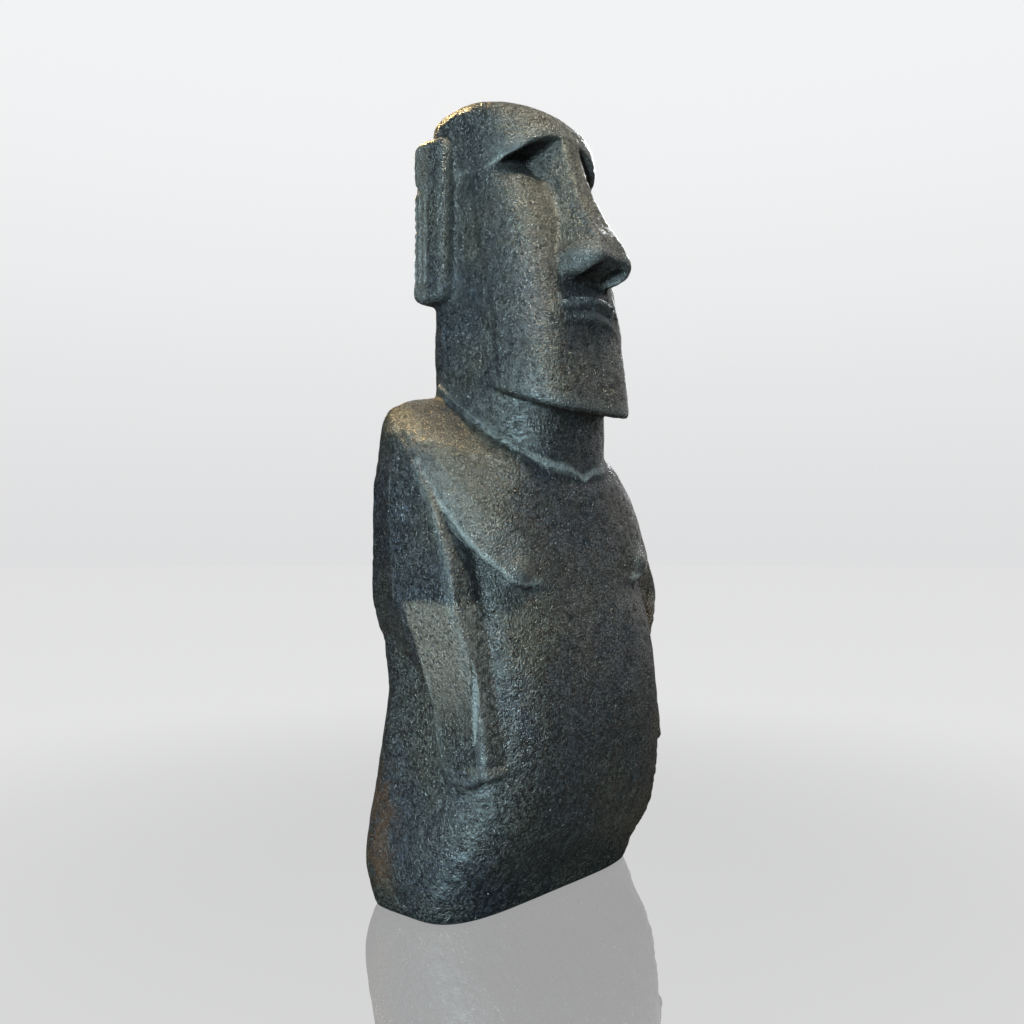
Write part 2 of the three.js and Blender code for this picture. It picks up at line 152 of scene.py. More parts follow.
def smooth(knots: Knots, at: Array) -> Array:
    """A cubic Hermite curve through (place, value) knots that never overshoots them.

    Its slope at each inner knot is the weighted harmonic mean of the slopes on both sides, or 0 where
    they differ in sign.
    """
    x, y = np.array(knots, float).T
    gap = np.diff(x)
    rise = np.diff(y) / gap
    before, after = 2 * gap[1:] + gap[:-1], gap[1:] + 2 * gap[:-1]
    turns = rise[:-1] * rise[1:] <= 0
    with np.errstate(divide="ignore", invalid="ignore"):
        inner = (before + after) / (before / rise[:-1] + after / rise[1:])
    lean = np.concatenate([rise[:1], np.where(turns, 0.0, inner), rise[-1:]])
    at = np.clip(at, x[0], x[-1])
    i = np.clip(np.searchsorted(x, at, side="right") - 1, 0, len(gap) - 1)
    t = (at - x[i]) / gap[i]
    u = 1.0 - t
    return ((1 + 2 * t) * u * u * y[i] + t * u * u * gap[i] * lean[i]
            + t * t * (3 - 2 * t) * y[i + 1] - t * t * u * gap[i] * lean[i + 1])


# ---- The figure's form -----------------------------------------------------------------------------

@dataclass(frozen=True)
class Trunk:
    """The slab-like trunk with its chest block, upper arms, forearms and hands."""
    half_width: Knots = ((0, .456), (.12, .473), (.40, .439), (.63, .413), (.85, .416), (1.05, .424),
                         (1.16, .428), (1.26, .440), (1.45, .432))
    belly: Knots = ((0, .186), (.07, .212), (.20, .292), (.38, .344), (.55, .359), (.75, .341),
                    (.93, .307), (1.10, .290), (1.24, .284), (1.45, .270))
    back: Knots = ((0, .202), (.12, .238), (.40, .214), (.60, .196), (.76, .216), (.95, .218), (1.25, .222),
                   (1.45, .188))
    front_corner: Knots = ((0, 3.8), (.30, 4.4), (.90, 4.2), (1.05, 3.35), (1.16, 2.6), (1.26, 2.15),
                           (1.45, 2.1))
    back_corner: float = 4.6
    foot_round: float = .018
    elbow: float = .878
    upper_arm: Knots = ((.56, .380), (.68, .428), (.80, .478), (.878, .494), (1.25, .464), (1.45, .450))
    forearm: Knots = ((.38, .456), (.60, .448), (.878, .492))
    arm_front: Knots = ((.78, .226), (.88, .221), (.95, .208), (1.11, .140), (1.267, .034), (1.45, -.110))
    arm_back: Knots = ((.60, .055), (.878, -.008), (1.10, -.045), (1.35, -.085))
    blade_cant: float = .46
    elbow_fore: float = .1265
    wrist: tuple[float, float] = (.210, .475)
    limb_radii: tuple[float, float] = (.0995, .088)
    fingertips: tuple[float, float] = (.288, .430)
    hand_radii: tuple[float, float] = (.056, .018)
    arm_foot: float = .60
    chest_edge: tuple[float, float] = (1.297, 1.29)
    outer_face: tuple[float, float] = (.25, .17)
    right_ahead: float = .09
    hand_proud: float = .013
    limb_proud: float = .080
    chest_recess: tuple[float, float] = (.024, .075)
    flank_middle: tuple[float, float, float] = (.452, .262, .80)
    flank_radii: tuple[float, float, float] = (.060, .062, .38)
    flank_round: float = .04
    yoke: tuple[float, float, float] = (1.448, .70, .40)
    yoke_reach: float = .22
    shoulder_top: tuple[float, float] = (1.524, .145)
    nipples: tuple[tuple[int, float], ...] = ((-1, .957), (1, .982))
    nipple_middle: tuple[float, float] = (.292, .272)
    nipple_radii: tuple[float, float, float] = (.034, .032, .030)
    nipple_round: float = .030

    def chest_line(self, fore: Array) -> Array:
        """Height of the chest block's slanting lower edge: height - fall * fore."""
        return self.chest_edge[0] - self.chest_edge[1] * fore

    def shoulder_cut(self, side: Array, fore: Array, z: Array) -> Array:
        """Distance above the yoke plane, which falls forward and outward, and the shoulder tops."""
        outer = np.maximum(side - self.yoke_reach, 0.0)
        height, fall, outer_fall = self.yoke
        yoke = (z - height + fall * fore + outer_fall * outer) / math.hypot(1, fall)
        height, fall = self.shoulder_top
        top = (z - height + fall * side) / math.hypot(1, fall)
        return trim(yoke, top, .06)

    def ribs(self, side: Array, fore: Array, z: Array) -> Array:
        """Belly, flanks and back, hollowed beside the arms and set back under the chest's edge."""
        low = np.clip(1.0 - z / self.foot_round, 0.0, 1.0)
        tuck = self.foot_round * (1.0 - np.sqrt(1.0 - .98 * low * low))
        edge = (self.chest_line(fore) - z) / math.hypot(1, self.chest_edge[1])
        depth, reach = self.chest_recess
        recess = depth * bell(edge, reach) * ease(.15, .33, side) * ease(.05, .15, fore)
        body = slab(side, fore, smooth(self.half_width, z), smooth(self.belly, z), smooth(self.back, z),
                    (smooth(self.front_corner, z), self.back_corner))
        middle = self.flank_middle
        flank = ellipsoid((side - middle[0], fore - middle[1], z - middle[2]), self.flank_radii)
        return trim(body + tuck + recess, -flank, self.flank_round)

    def chest(self, side: Array, fore: Array, z: Array) -> Array:
        """The block above the slanting edge, which fades into the ribs at the middle."""
        block = slab(side, fore, straight(self.upper_arm, z) - .004, smooth(self.belly, z),
                     smooth(self.back, z), (smooth(self.front_corner, z), self.back_corner))
        edge = (self.chest_line(fore) - z) / math.hypot(1, self.chest_edge[1])
        return trim(block, edge, .014) + .008 * ease(.29, .15, side)

    def upper_arms(self, side: Array, fore: Array, z: Array) -> Array:
        """Upper arm and shoulder blade: straight in front, canted in behind the arm's back edge."""
        width = straight(self.upper_arm, z)
        block = slab(side, fore, width, .60, smooth(self.back, z), (8.0, 6.0))
        block = trim(block, fore - smooth(self.arm_front, z), .012)
        blade = side - width + self.blade_cant * (smooth(self.arm_back, z) - fore)
        block = trim(block, blade / math.hypot(1, self.blade_cant), .010)
        return trim(block, self.arm_foot - z, .010) + .014 * ease(1.20, 1.32, z)

    def limb(self, fore: Array, z: Array) -> Array:
        """Distance, in side view, to the tapered bar of the forearm."""
        return bar(fore, z, (self.elbow_fore, self.elbow), self.wrist, self.limb_radii)

    def forearms(self, side: Array, fore: Array, z: Array, ribs: Array, ahead: Array) -> Array:
        """Tapered bars that lean in below the elbow and end in hands lying on the belly.

        Args:
            side, fore, z: the point.
            ribs: distance to the ribs and belly.
            ahead: how much further forward the forearm's outer face reaches.

        Returns:
            The distance.
        """
        lower = self.limb(fore, z)
        hand = bar(fore, z, self.wrist, self.fingertips, self.hand_radii)
        limb = trim(side - straight(self.forearm, z), np.minimum(lower, hand), .012)
        limb = trim(limb, z - self.elbow, .004)
        proud = self.limb_proud * ease(*self.outer_face, fore - ahead)
        return trim(limb, ribs - self.hand_proud - proud, .008)

    def distance(self, x: Array, side: Array, fore: Array, z: Array) -> Array:
        """Distance to the whole trunk."""
        ribs = self.ribs(side, fore, z)
        apex = .012 * ease(1.10, 1.24, z)
        body = join(ribs, self.chest(side, fore, z), .012 + apex)
        body = join(body, self.upper_arms(side, fore, z), .008 + apex)
        ahead = np.where(x < 0, self.right_ahead, 0.0)
        body = join(body, self.forearms(side, fore, z, ribs, ahead), .008)
        body = trim(body, self.shoulder_cut(side, fore, z), .05 + .03 * ease(.20, .34, side))
        out, front = self.nipple_middle
        for hand, height in self.nipples:
            mound = ellipsoid((x - hand * out, fore - front, z - height), self.nipple_radii)
            body = join(body, mound, self.nipple_round)
        return body


@dataclass(frozen=True)
class Neck:
    """The rounded neck and the cord of the collar round its foot."""
    half_width: float = .236
    front: float = .276
    back: float = .172
    corners: tuple[float, float] = (3.0, 3.8)
    span: tuple[float, float] = (1.10, 1.70)
    collar: tuple[float, float] = (1.450, .70)
    cord: float = .0095

    def plan(self, side: Array, fore: Array) -> Array:
        """Distance to the neck's upright sides."""
        return slab(side, fore, self.half_width, self.front, self.back, self.corners)

    def above_collar(self, side: Array, fore: Array, z: Array) -> Array:
        """Distance above the collar's slanting plane, which dips to a point at the middle front."""
        point = .022 * np.maximum(0.0, 1.0 - side / .05)
        return (z - self.collar[0] + self.collar[1] * fore + point) / math.hypot(1, self.collar[1])

    def distance(self, body: Array, side: Array, fore: Array, z: Array) -> Array:
        """The body joined by the neck and by a round cord where the neck meets the yoke."""
        plan = self.plan(side, fore)
        low, high = self.span
        body = join(body, trim(plan, np.maximum(z - high, low - z), .02), .008)
        cord = np.hypot(plan - .004, self.above_collar(side, fore, z)) - self.cord
        return join(body, trim(cord, -.10 - fore, .01), .008)


@dataclass(frozen=True)
class Head:
    """The long head. Its heights are shares of the face, from the chin at 0 to the crown at 1."""
    crown: float
    chin: float = 1.410
    cheek: Knots = ((0, .350), (.10, .338), (.30, .308), (.50, .272), (.62, .240), (.70, .198),
                    (.76, .145), (.84, .120), (1, .110))
    sides: Knots = ((0, .250), (.2, .246), (.5, .239), (.75, .234), (1, .210))
    back: Knots = ((0, .162), (.25, .172), (.6, .178), (.85, .178), (1, .170))
    side_edge: Knots = ((0, .170), (.3, .130), (.6, .055), (.75, .030))
    forehead: Knots = ((0, .245), (.70, .246), (.82, .240), (.90, .222), (1, .190))
    temple: Knots = ((0, .236), (.75, .236), (.85, .238), (1, .236))
    ridge: Knots = ((.38, .400), (.45, .408), (.50, .394), (.58, .345), (.68, .295), (.78, .258),
                    (.86, .235))
    nose_side: Knots = ((.38, .076), (.46, .073), (.55, .056), (.68, .043), (.86, .040))
    flare: float = .34
    nose_rise: float = .34
    jaw: tuple[float, float] = (.350, .34)
    ear_middle: tuple[float, float] = (-.096, 2.025)
    ear_half: tuple[float, float] = (.030, .215)
    ear_round: float = .038
    ear_side: float = .282
    dome: tuple[float, float, float] = (.360, .260, .420)
    dome_drop: float = .130

    def height(self, share: float | Array) -> float | Array:
        """Height above the ground of a share of the face."""
        return self.chin + share * (self.crown - self.chin)

    def brow_edge(self, side: Array) -> Array:
        """Height of the brow ledge's edge: an arch that drops with the power 2.6 of the distance out."""
        return self.height(.838 - .100 * (side / .220) ** 2.6)

    def jaw_plane(self, fore: Array) -> Array:
        """Height of the jaw's underside, which rises backwards."""
        return self.chin + self.jaw[1] * (self.jaw[0] - fore)

    def parting(self, side: Array) -> Array:
        """Height of the parting of the lips, which droops outwards as a parabola."""
        return self.height(.318) - .020 * (side / .130) ** 2

    def nose_foot(self, fore: Array) -> Array:
        """Height of the nose's underside: level behind, rising forward under the tip."""
        return self.height(.413) + self.nose_rise * np.maximum(fore - .31, -.02)

    def skull(self, side: Array, fore: Array, z: Array, share: Array) -> Array:
        """Lower block with cheeks and jaw, joined to an upper block that overhangs as the brow."""
        back = smooth(self.back, share)
        lower = slab(side, fore, smooth(self.sides, share), smooth(self.cheek, share), back, (4.4, 4.0))
        edge = smooth(self.side_edge, share)
        sunk = .007 * ease(0.012, -.006, fore - edge) * ease(.12, .20, side) * ease(.80, .72, share)
        lower = lower + sunk
        lower = trim(lower, (self.jaw_plane(fore) - z) / math.hypot(1, self.jaw[1]), .028)
        upper = slab(side, fore, smooth(self.temple, share), smooth(self.forehead, share), back, (2.9, 4.6))
        upper = trim(upper, self.brow_edge(side) - z, .020)
        wide, front, rear = self.dome
        bow = (side / wide) ** 2 + (fore / np.where(fore > 0, front, rear)) ** 2
        return trim(join(lower, upper, .010), (z - self.crown + self.dome_drop * bow) * .80, .035)

    def lids(self, side: Array, fore: Array, z: Array) -> Array:
        """Height of the low ridge of the lower lid in each socket."""
        line = self.height(.712) - .010 * ((side - .12) / .08) ** 2
        return (.006 * bell(z - line, .012) * ease(.04, .07, side) * ease(.215, .18, side)
                * ease(.05, .12, fore))

    def nose(self, side: Array, fore: Array, z: Array, share: Array) -> Array:
        """Two flaring flanks under a ridge line, with wings and nostrils."""
        ridge = smooth(self.ridge, share)
        flank = side - smooth(self.nose_side, share) - self.flare * np.maximum(ridge - fore, 0.0)
        shape = trim(fore - ridge, flank / math.hypot(1, self.flare), .014)
        foot = self.height(.413) + self.nose_rise * (fore - .31) - z
        shape = trim(shape, foot / math.hypot(1, self.nose_rise), .016)
        shape = trim(shape, np.maximum(z - self.height(.87), .05 - fore), .020)
        wing = ellipsoid((side - .080, fore - .330, z - self.height(.452)), (.040, .066, .046))
        shape = join(shape, wing, .030)
        nostril = ellipsoid((side - .058, fore - .352, z - self.height(.418)), (.026, .040, .032))
        return trim(shape, -nostril, .010)

    def mouth(self, side: Array, fore: Array, z: Array) -> tuple[Array, Array]:
        """The low mound of the mouth, and the two lips that stand on it."""
        bent = z + .020 * (side / .130) ** 2
        mound = ellipsoid((side, fore - .264, bent - self.height(.315)), (.190, .064, .075))
        upper = ellipsoid((side, fore - .292, bent - self.height(.340)), (.150, .058, .021))
        lower = ellipsoid((side, fore - .290, bent - self.height(.296)), (.140, .056, .022))
        return mound, join(upper, lower, .006)

    def ears(self, side: Array, fore: Array, z: Array) -> Array:
        """Tall slabs with rounded corners, a notch near the top and grooves down the lobe."""
        across, up = fore - self.ear_middle[0], z - self.ear_middle[1]
        outline = np.hypot(np.maximum(np.abs(across) - self.ear_half[0], 0.0),
                           np.maximum(np.abs(up) - self.ear_half[1], 0.0)) - self.ear_round
        ear = trim(trim(outline, side - self.ear_side, .018), .18 - side, .010)
        shown = ease(.20, .26, side)
        for groove in range(3):
            ear = ear + (.006 * bell(across + .010 + .022 * groove, .0065) * shown
                         * ease(.15, .12, np.abs(up + .055)))
        return ear + .010 * bell(up - .105, .010) * ease(.045, .020, across) * shown

    def distance(self, side: Array, fore: Array, z: Array) -> Array:
        """Distance to the whole head."""
        share = (z - self.chin) / (self.crown - self.chin)
        shape = self.skull(side, fore, z, share) - self.lids(side, fore, z)
        shape = join(shape, self.nose(side, fore, z, share), .010)
        mound, lips = self.mouth(side, fore, z)
        shape = join(join(shape, mound, .030), lips, .008)
        return join(shape, self.ears(side, fore, z), .010)


@dataclass(frozen=True)
class Figure:
    """The whole figure as one distance."""
    head: Head
    trunk: Trunk = field(default_factory=Trunk)
    neck: Neck = field(default_factory=Neck)
    dimple_height: float = 1.037
    dimple_radius: float = .012
    dimple_depth: float = .010

    def distance(self, points: Array) -> Array:
        """Distance from points (..., 3) to the statue's surface, negative inside."""
        x, fore, z = points[..., 0], -points[..., 1], points[..., 2]
        side = np.sqrt(x * x + 1e-8)
        body = self.trunk.distance(x, side, fore, z)
        body = self.neck.distance(body, side, fore, z)
        dimple = self.dimple_depth * bell(np.hypot(x, z - self.dimple_height), self.dimple_radius)
        return join(body + dimple * ease(.10, .20, fore), self.head.distance(side, fore, z), .010)

    def slope(self, points: Array) -> Array:
        """Gradient of the distance, from its values at the four corners of a small tetrahedron."""
        reach = .0007
        corners = np.array([(1, -1, -1), (-1, -1, 1), (-1, 1, -1), (1, 1, 1)], float)
        return sum(c * self.distance(points + reach * c)[..., None] for c in corners) / (4 * reach)


# ---- The grid laid over the form -------------------------------------------------------------------

@dataclass(frozen=True)
class Guide:
    """A line on the statue that one line of the grid is held on."""
    share: float
    beyond: Callable[[Array], Array]


@dataclass
class SurfaceGrid:
    """Rows and columns laid over the figure; row 0 is the foot's outline and a pole closes the crown."""
    figure: Figure
    columns: int = 156
    rows: int = 150
    fine: int = 2
    pole: Array = field(init=False)

    def __post_init__(self) -> None:
        """Sets the pole on the crown."""
        self.pole = np.array([0.0, 0.0, self.figure.head.crown])

    def row_guides(self) -> list[Guide]:
        """Lines that rows follow: the chest's edge, collar, jaw, lips, nose foot and brow."""
        neck, head, trunk = self.figure.neck, self.figure.head, self.figure.trunk

        def over(height: Callable[[Array, Array], Array]) -> Callable[[Array], Array]:
            """Turns a height over (side, fore) into a signed height above it."""
            return lambda p: p[..., 2] - height(np.abs(p[..., 0]), -p[..., 1])

        def collar(side: Array, fore: Array) -> Array:
            """Height of the collar's plane."""
            return -neck.above_collar(side, fore, 0.0) * math.hypot(1, neck.collar[1])

        return [
            Guide(.335, over(lambda side, fore: trunk.chest_line(np.maximum(fore, .02)) + .003)),
            Guide(.470, over(collar)),
            Guide(.530, over(lambda side, fore: head.jaw_plane(fore) + .006)),
            Guide(.625, over(lambda side, fore: head.parting(side))),
            Guide(.680, over(lambda side, fore: head.nose_foot(fore) - .003)),
            Guide(.850, over(lambda side, fore: head.brow_edge(side) + .004)),
        ]

    def column_guides(self) -> list[Guide]:
        """Lines that columns follow: the front and the back edges of the arm, hand and ear."""
        front = ((0, .090), (.40, .225), (.475, .262), (.70, .245), (.88, .221), (.95, .208), (1.11, .140),
                 (1.267, .034), (1.45, 0), (1.77, -.028), (2.28, -.028), (2.42, 0))
        back = ((0, -.060), (.40, .070), (.475, .115), (.70, .066), (.878, -.008), (1.35, -.085),
                (1.50, -.130), (1.77, -.164), (2.28, -.164), (2.42, -.164))

        def behind_front(p: Array) -> Array:
            """Distance behind the front edge."""
            return p[..., 1] + smooth(front, p[..., 2])

        def behind_back(p: Array) -> Array:
            """Distance behind the back edge, which closes in on the crown in proportion."""
            narrow = np.where(p[..., 2] > 1.6, np.minimum(np.abs(p[..., 0]) / .26, 1.0), 1.0)
            return p[..., 1] + smooth(back, p[..., 2]) * narrow

        return [Guide(.50, behind_front), Guide(.69, behind_back)]

    def settle(self, grid: Array, rounds: int = 2) -> Array:
        """Moves points along the slope onto the surface, d/|g|^2 at a time; row 0 stays on the ground."""
        for _ in range(rounds):
            gap = self.figure.distance(grid)
            slope = self.figure.slope(grid)
            slope[0, :, 2] = 0.0
            move = -(gap / np.maximum((slope * slope).sum(-1), .3))[..., None] * slope
            length = np.linalg.norm(move, axis=-1, keepdims=True)
            grid = grid + move * np.minimum(1.0, .02 / np.maximum(length, 1e-12))
        grid[0, :, 2] = 0.0
        return grid

    def first_grid(self) -> Array:
        """Rays fan out from a line inside the statue, and each keeps its outermost crossing."""
        share = np.arange(self.rows) / self.rows
        places = (0, .36, .44, .50, .55, .60, .88, .92, 1.0)
        start = np.interp(share, places, (0, .95, 1.12, 1.26, 1.42, 1.62, 2.20, 2.22, 2.22))
        lift = np.radians(np.interp(share, places, (0, 0, 35, 32, 5, -24, -24, 0, 89)))[:, None]
        turn = (2 * np.pi * np.arange(self.columns) / self.columns)[None]
        origin = np.zeros((self.rows, self.columns, 3))
        origin[..., 1] = -np.interp(start, (0, 1.2, 1.5, 2.2), (.02, .04, .06, .02))[:, None]
        origin[..., 2] = start[:, None]
        ray = np.stack([np.sin(turn) * np.cos(lift), np.cos(turn) * np.cos(lift),
                        np.sin(lift) + 0 * turn], -1)
        steps = np.linspace(0.0, .75, 60)
        inside = np.stack([self.figure.distance(origin + ray * t) < 0 for t in steps])
        last = len(steps) - 1 - np.argmax(inside[::-1], axis=0)
        low, high = steps[last], steps[np.minimum(last + 1, len(steps) - 1)]
        for _ in range(12):
            middle = .5 * (low + high)
            within = self.figure.distance(origin + ray * middle[..., None]) < 0
            low, high = np.where(within, middle, low), np.where(within, high, middle)
        return origin + ray * (.5 * (low + high))[..., None]

    @staticmethod
    def closeness(points: Array) -> Array:
        """How closely lines are drawn: closer on the head, closest on the face."""
        z, fore = points[..., 2], -points[..., 1]
        return 1.0 + 1.1 * ease(1.3, 1.5, z) * ease(-.1, .15, fore) + .5 * ease(1.35, 1.5, z)

    def respace(self, lines: Array, guides: list[Guide], rounds: int, ring: bool) -> Array:
        """Spaces the points of each line evenly by weighted length between its crossings with guides.

        Args:
            lines: points as (line, point, 3).
            guides: lines that the point at the guide's share is held on.
            rounds: how often neighbouring lines' places are averaged as 1/4, 1/2, 1/4.
            ring: whether the first and last line are neighbours.

        Returns:
            The new points, on the same polylines.
        """
        weight = self.closeness(lines)
        step = np.linalg.norm(np.diff(lines, axis=1), axis=-1) * .5 * (weight[:, 1:] + weight[:, :-1])
        length = np.concatenate([np.zeros((len(lines), 1)), np.cumsum(step, 1)], 1)
        last = lines.shape[1] - 1
        row = np.arange(len(lines))
        held, marks = [0], [length[:, 0]]
        for guide in guides:
            beyond = guide.beyond(lines)
            crossing = (beyond[:, :-1] < 0) & (beyond[:, 1:] >= 0)
            k = last - 1 - np.argmax(crossing[:, ::-1], 1)
            gap = beyond[row, k + 1] - beyond[row, k]
            t = np.where(crossing.any(1), -beyond[row, k] / np.where(gap == 0, 1.0, gap), 0.0)
            reached = length[row, k] + t * (length[row, k + 1] - length[row, k])
            share = int(round(guide.share * last))
            held.append(share)
            marks.append(np.where(crossing.any(1), reached, length[:, -1] * guide.share))
        held.append(last)
        marks.append(length[:, -1])
        wanted = np.stack([np.interp(np.arange(last + 1), held, m) for m in np.stack(marks, 1)])
        place = np.stack([np.interp(w, s, np.arange(last + 1)) for w, s in zip(wanted, length)])
        exact = place[:, held]
        for _ in range(rounds):
            before = np.concatenate([place[-1:] if ring else place[:1], place[:-1]])
            after = np.concatenate([place[1:], place[:1] if ring else place[-1:]])
            place = .25 * before + .5 * place + .25 * after
        place[:, held] = exact
        i = np.clip(place.astype(int), 0, last - 1)
        t = (place - i)[..., None]
        return lines[row[:, None], i] * (1 - t) + lines[row[:, None], i + 1] * t

    def space_columns(self, grid: Array, rounds: int) -> Array:
        """Spaces every column from the foot to the pole."""
        top = np.broadcast_to(self.pole, (1,) + grid.shape[1:])
        columns = np.swapaxes(np.concatenate([grid, top]), 0, 1)
        columns = self.respace(columns, self.row_guides(), rounds, True)
        return self.settle(np.swapaxes(columns, 0, 1)[:-1].copy())

    def space_rows(self, grid: Array, rounds: int) -> Array:
        """Spaces every row, each half apart, from the middle of the front to the middle of the back.

        Column 0 runs up the middle of the back, so each half is turned to start at the front.
        """
        half = grid.shape[1] // 2
        right = grid[:, half::-1]
        left = np.concatenate([grid[:, half:], grid[:, :1]], 1)
        guides = self.column_guides()
        right = self.respace(right, guides, rounds, False)
        left = self.respace(left, guides, rounds, False)
        return self.settle(np.concatenate([right[:, ::-1], left[:, 1:-1]], 1))

    def fair(self, grid: Array, amount: float, held_rows: list[int], held_columns: list[int]) -> Array:
        """Pulls each free point towards the mean of its four neighbours, then back onto the surface."""
        above = np.concatenate([grid[1:], np.broadcast_to(self.pole, (1,) + grid.shape[1:])])
        below = np.concatenate([grid[:1], grid[:-1]])
        mean = (np.roll(grid, 1, 1) + np.roll(grid, -1, 1) + above + below) / 4
        drawn = grid + amount * (mean - grid)
        drawn[-1] = grid[-1]
        drawn[held_rows] = grid[held_rows]
        drawn[:, held_columns] = grid[:, held_columns]
        return self.settle(drawn, 1)

    def held(self, grid: Array) -> tuple[list[int], list[int]]:
        """Indices of the rows and columns that guides hold."""
        rows = [int(round(g.share * grid.shape[0])) for g in self.row_guides()]
        half = grid.shape[1] // 2
        ahead = [int(round(g.share * half)) for g in self.column_guides()]
        return rows, [half - k for k in ahead] + [half + k for k in ahead]

    def refine(self, grid: Array) -> Array:
        """Puts new lines between the old ones on Catmull-Rom curves through them."""
        def cubic(points: Array, count: int, ring: bool) -> Array:
            """Samples a cubic through points at steps of 1/fine."""
            at = np.arange(count * self.fine) / self.fine
            i = np.floor(at).astype(int)
            t = (at - i)[:, None, None]
            size = len(points)
            a, b, c, d = (points[(i + k) % size] if ring else points[np.clip(i + k, 0, size - 1)]
                          for k in (-1, 0, 1, 2))
            return b + .5 * t * (c - a + t * (2 * a - 5 * b + 4 * c - d + t * (3 * (b - c) + d - a)))

        top = np.broadcast_to(self.pole, (1,) + grid.shape[1:])
        tall = cubic(np.concatenate([grid, top]), len(grid), False)
        return np.swapaxes(cubic(np.swapaxes(tall, 0, 1), grid.shape[1], True), 0, 1).copy()

    def build(self) -> Array:
        """Lays the coarse grid, evens it out, refines it and settles it.

        Returns:
            Points as (row, column, 3).
        """
        grid = self.first_grid()
        for _ in range(5):
            grid = self.space_rows(self.space_columns(grid, 8), 6)
            rows, columns = self.held(grid)
            for _ in range(3):
                grid = self.fair(grid, .5, rows, columns)
        grid = self.space_columns(self.space_rows(grid, 4), 4)
        grid = self.settle(self.refine(grid), 2)
        rows, columns = self.held(grid)
        for _ in range(3):
            grid = self.fair(grid, .5, rows, columns)
        return self.settle(grid, 2)

    def faces(self, grid: Array) -> Array:
        """Triangles: each square is split along the diagonal nearer the surface; fans close both ends.

        The fans use two more points, which follow the grid's own: the middle of the foot and the pole.
        """
        rows, columns, _ = grid.shape
        after = np.roll(grid, -1, 1)
        rising = np.abs(self.figure.distance((grid[:-1] + after[1:]) / 2))
        falling = np.abs(self.figure.distance((grid[1:] + after[:-1]) / 2))
        j = np.arange(columns)
        k = (j + 1) % columns
        base = np.arange(rows - 1)[:, None] * columns
        a, b, c, d = base + j, base + k, base + columns + j, base + columns + k
        pick = (rising < falling)[..., None]
        first = np.where(pick, np.stack([a, c, d], -1), np.stack([a, c, b], -1))
        second = np.where(pick, np.stack([a, d, b], -1), np.stack([b, c, d], -1))
        foot, pole = rows * columns, rows * columns + 1
        top = (rows - 1) * columns
        under = np.stack([np.full(columns, foot), j, k], -1)
        over = np.stack([top + k, top + j, np.full(columns, pole)], -1)
        return np.concatenate([first.reshape(-1, 3), second.reshape(-1, 3), under, over])


# ---- Surface dressing ------------------------------------------------------------------------------

def waves(points: Array, length: float, seed: int, stretch: tuple[float, float, float] = (1, 1, 1),
          count: int = 28) -> Array:
    """Smooth noise of variance 1: a sum of plane sine waves whose direction, length and phase are drawn.

    Args:
        points: points (..., 3).
        length: middle wavelength; each wave's own is .7 to 1.5 of it.
        seed: seed of the draw.
        stretch: how much longer the waves are along x, y and z.
        count: number of waves.

    Returns:
        One value for each point.
    """
    draw = np.random.default_rng(seed)
    heading = draw.normal(size=(count, 3))
    heading /= np.linalg.norm(heading, axis=1, keepdims=True)
    number = 2 * np.pi / (length * draw.uniform(.7, 1.5, (count, 1)))
    phase = draw.uniform(0, 2 * np.pi, count)
    turns = (points / np.array(stretch, float)) @ (heading * number).T + phase
    return np.sin(turns).sum(-1) / math.sqrt(count / 2)


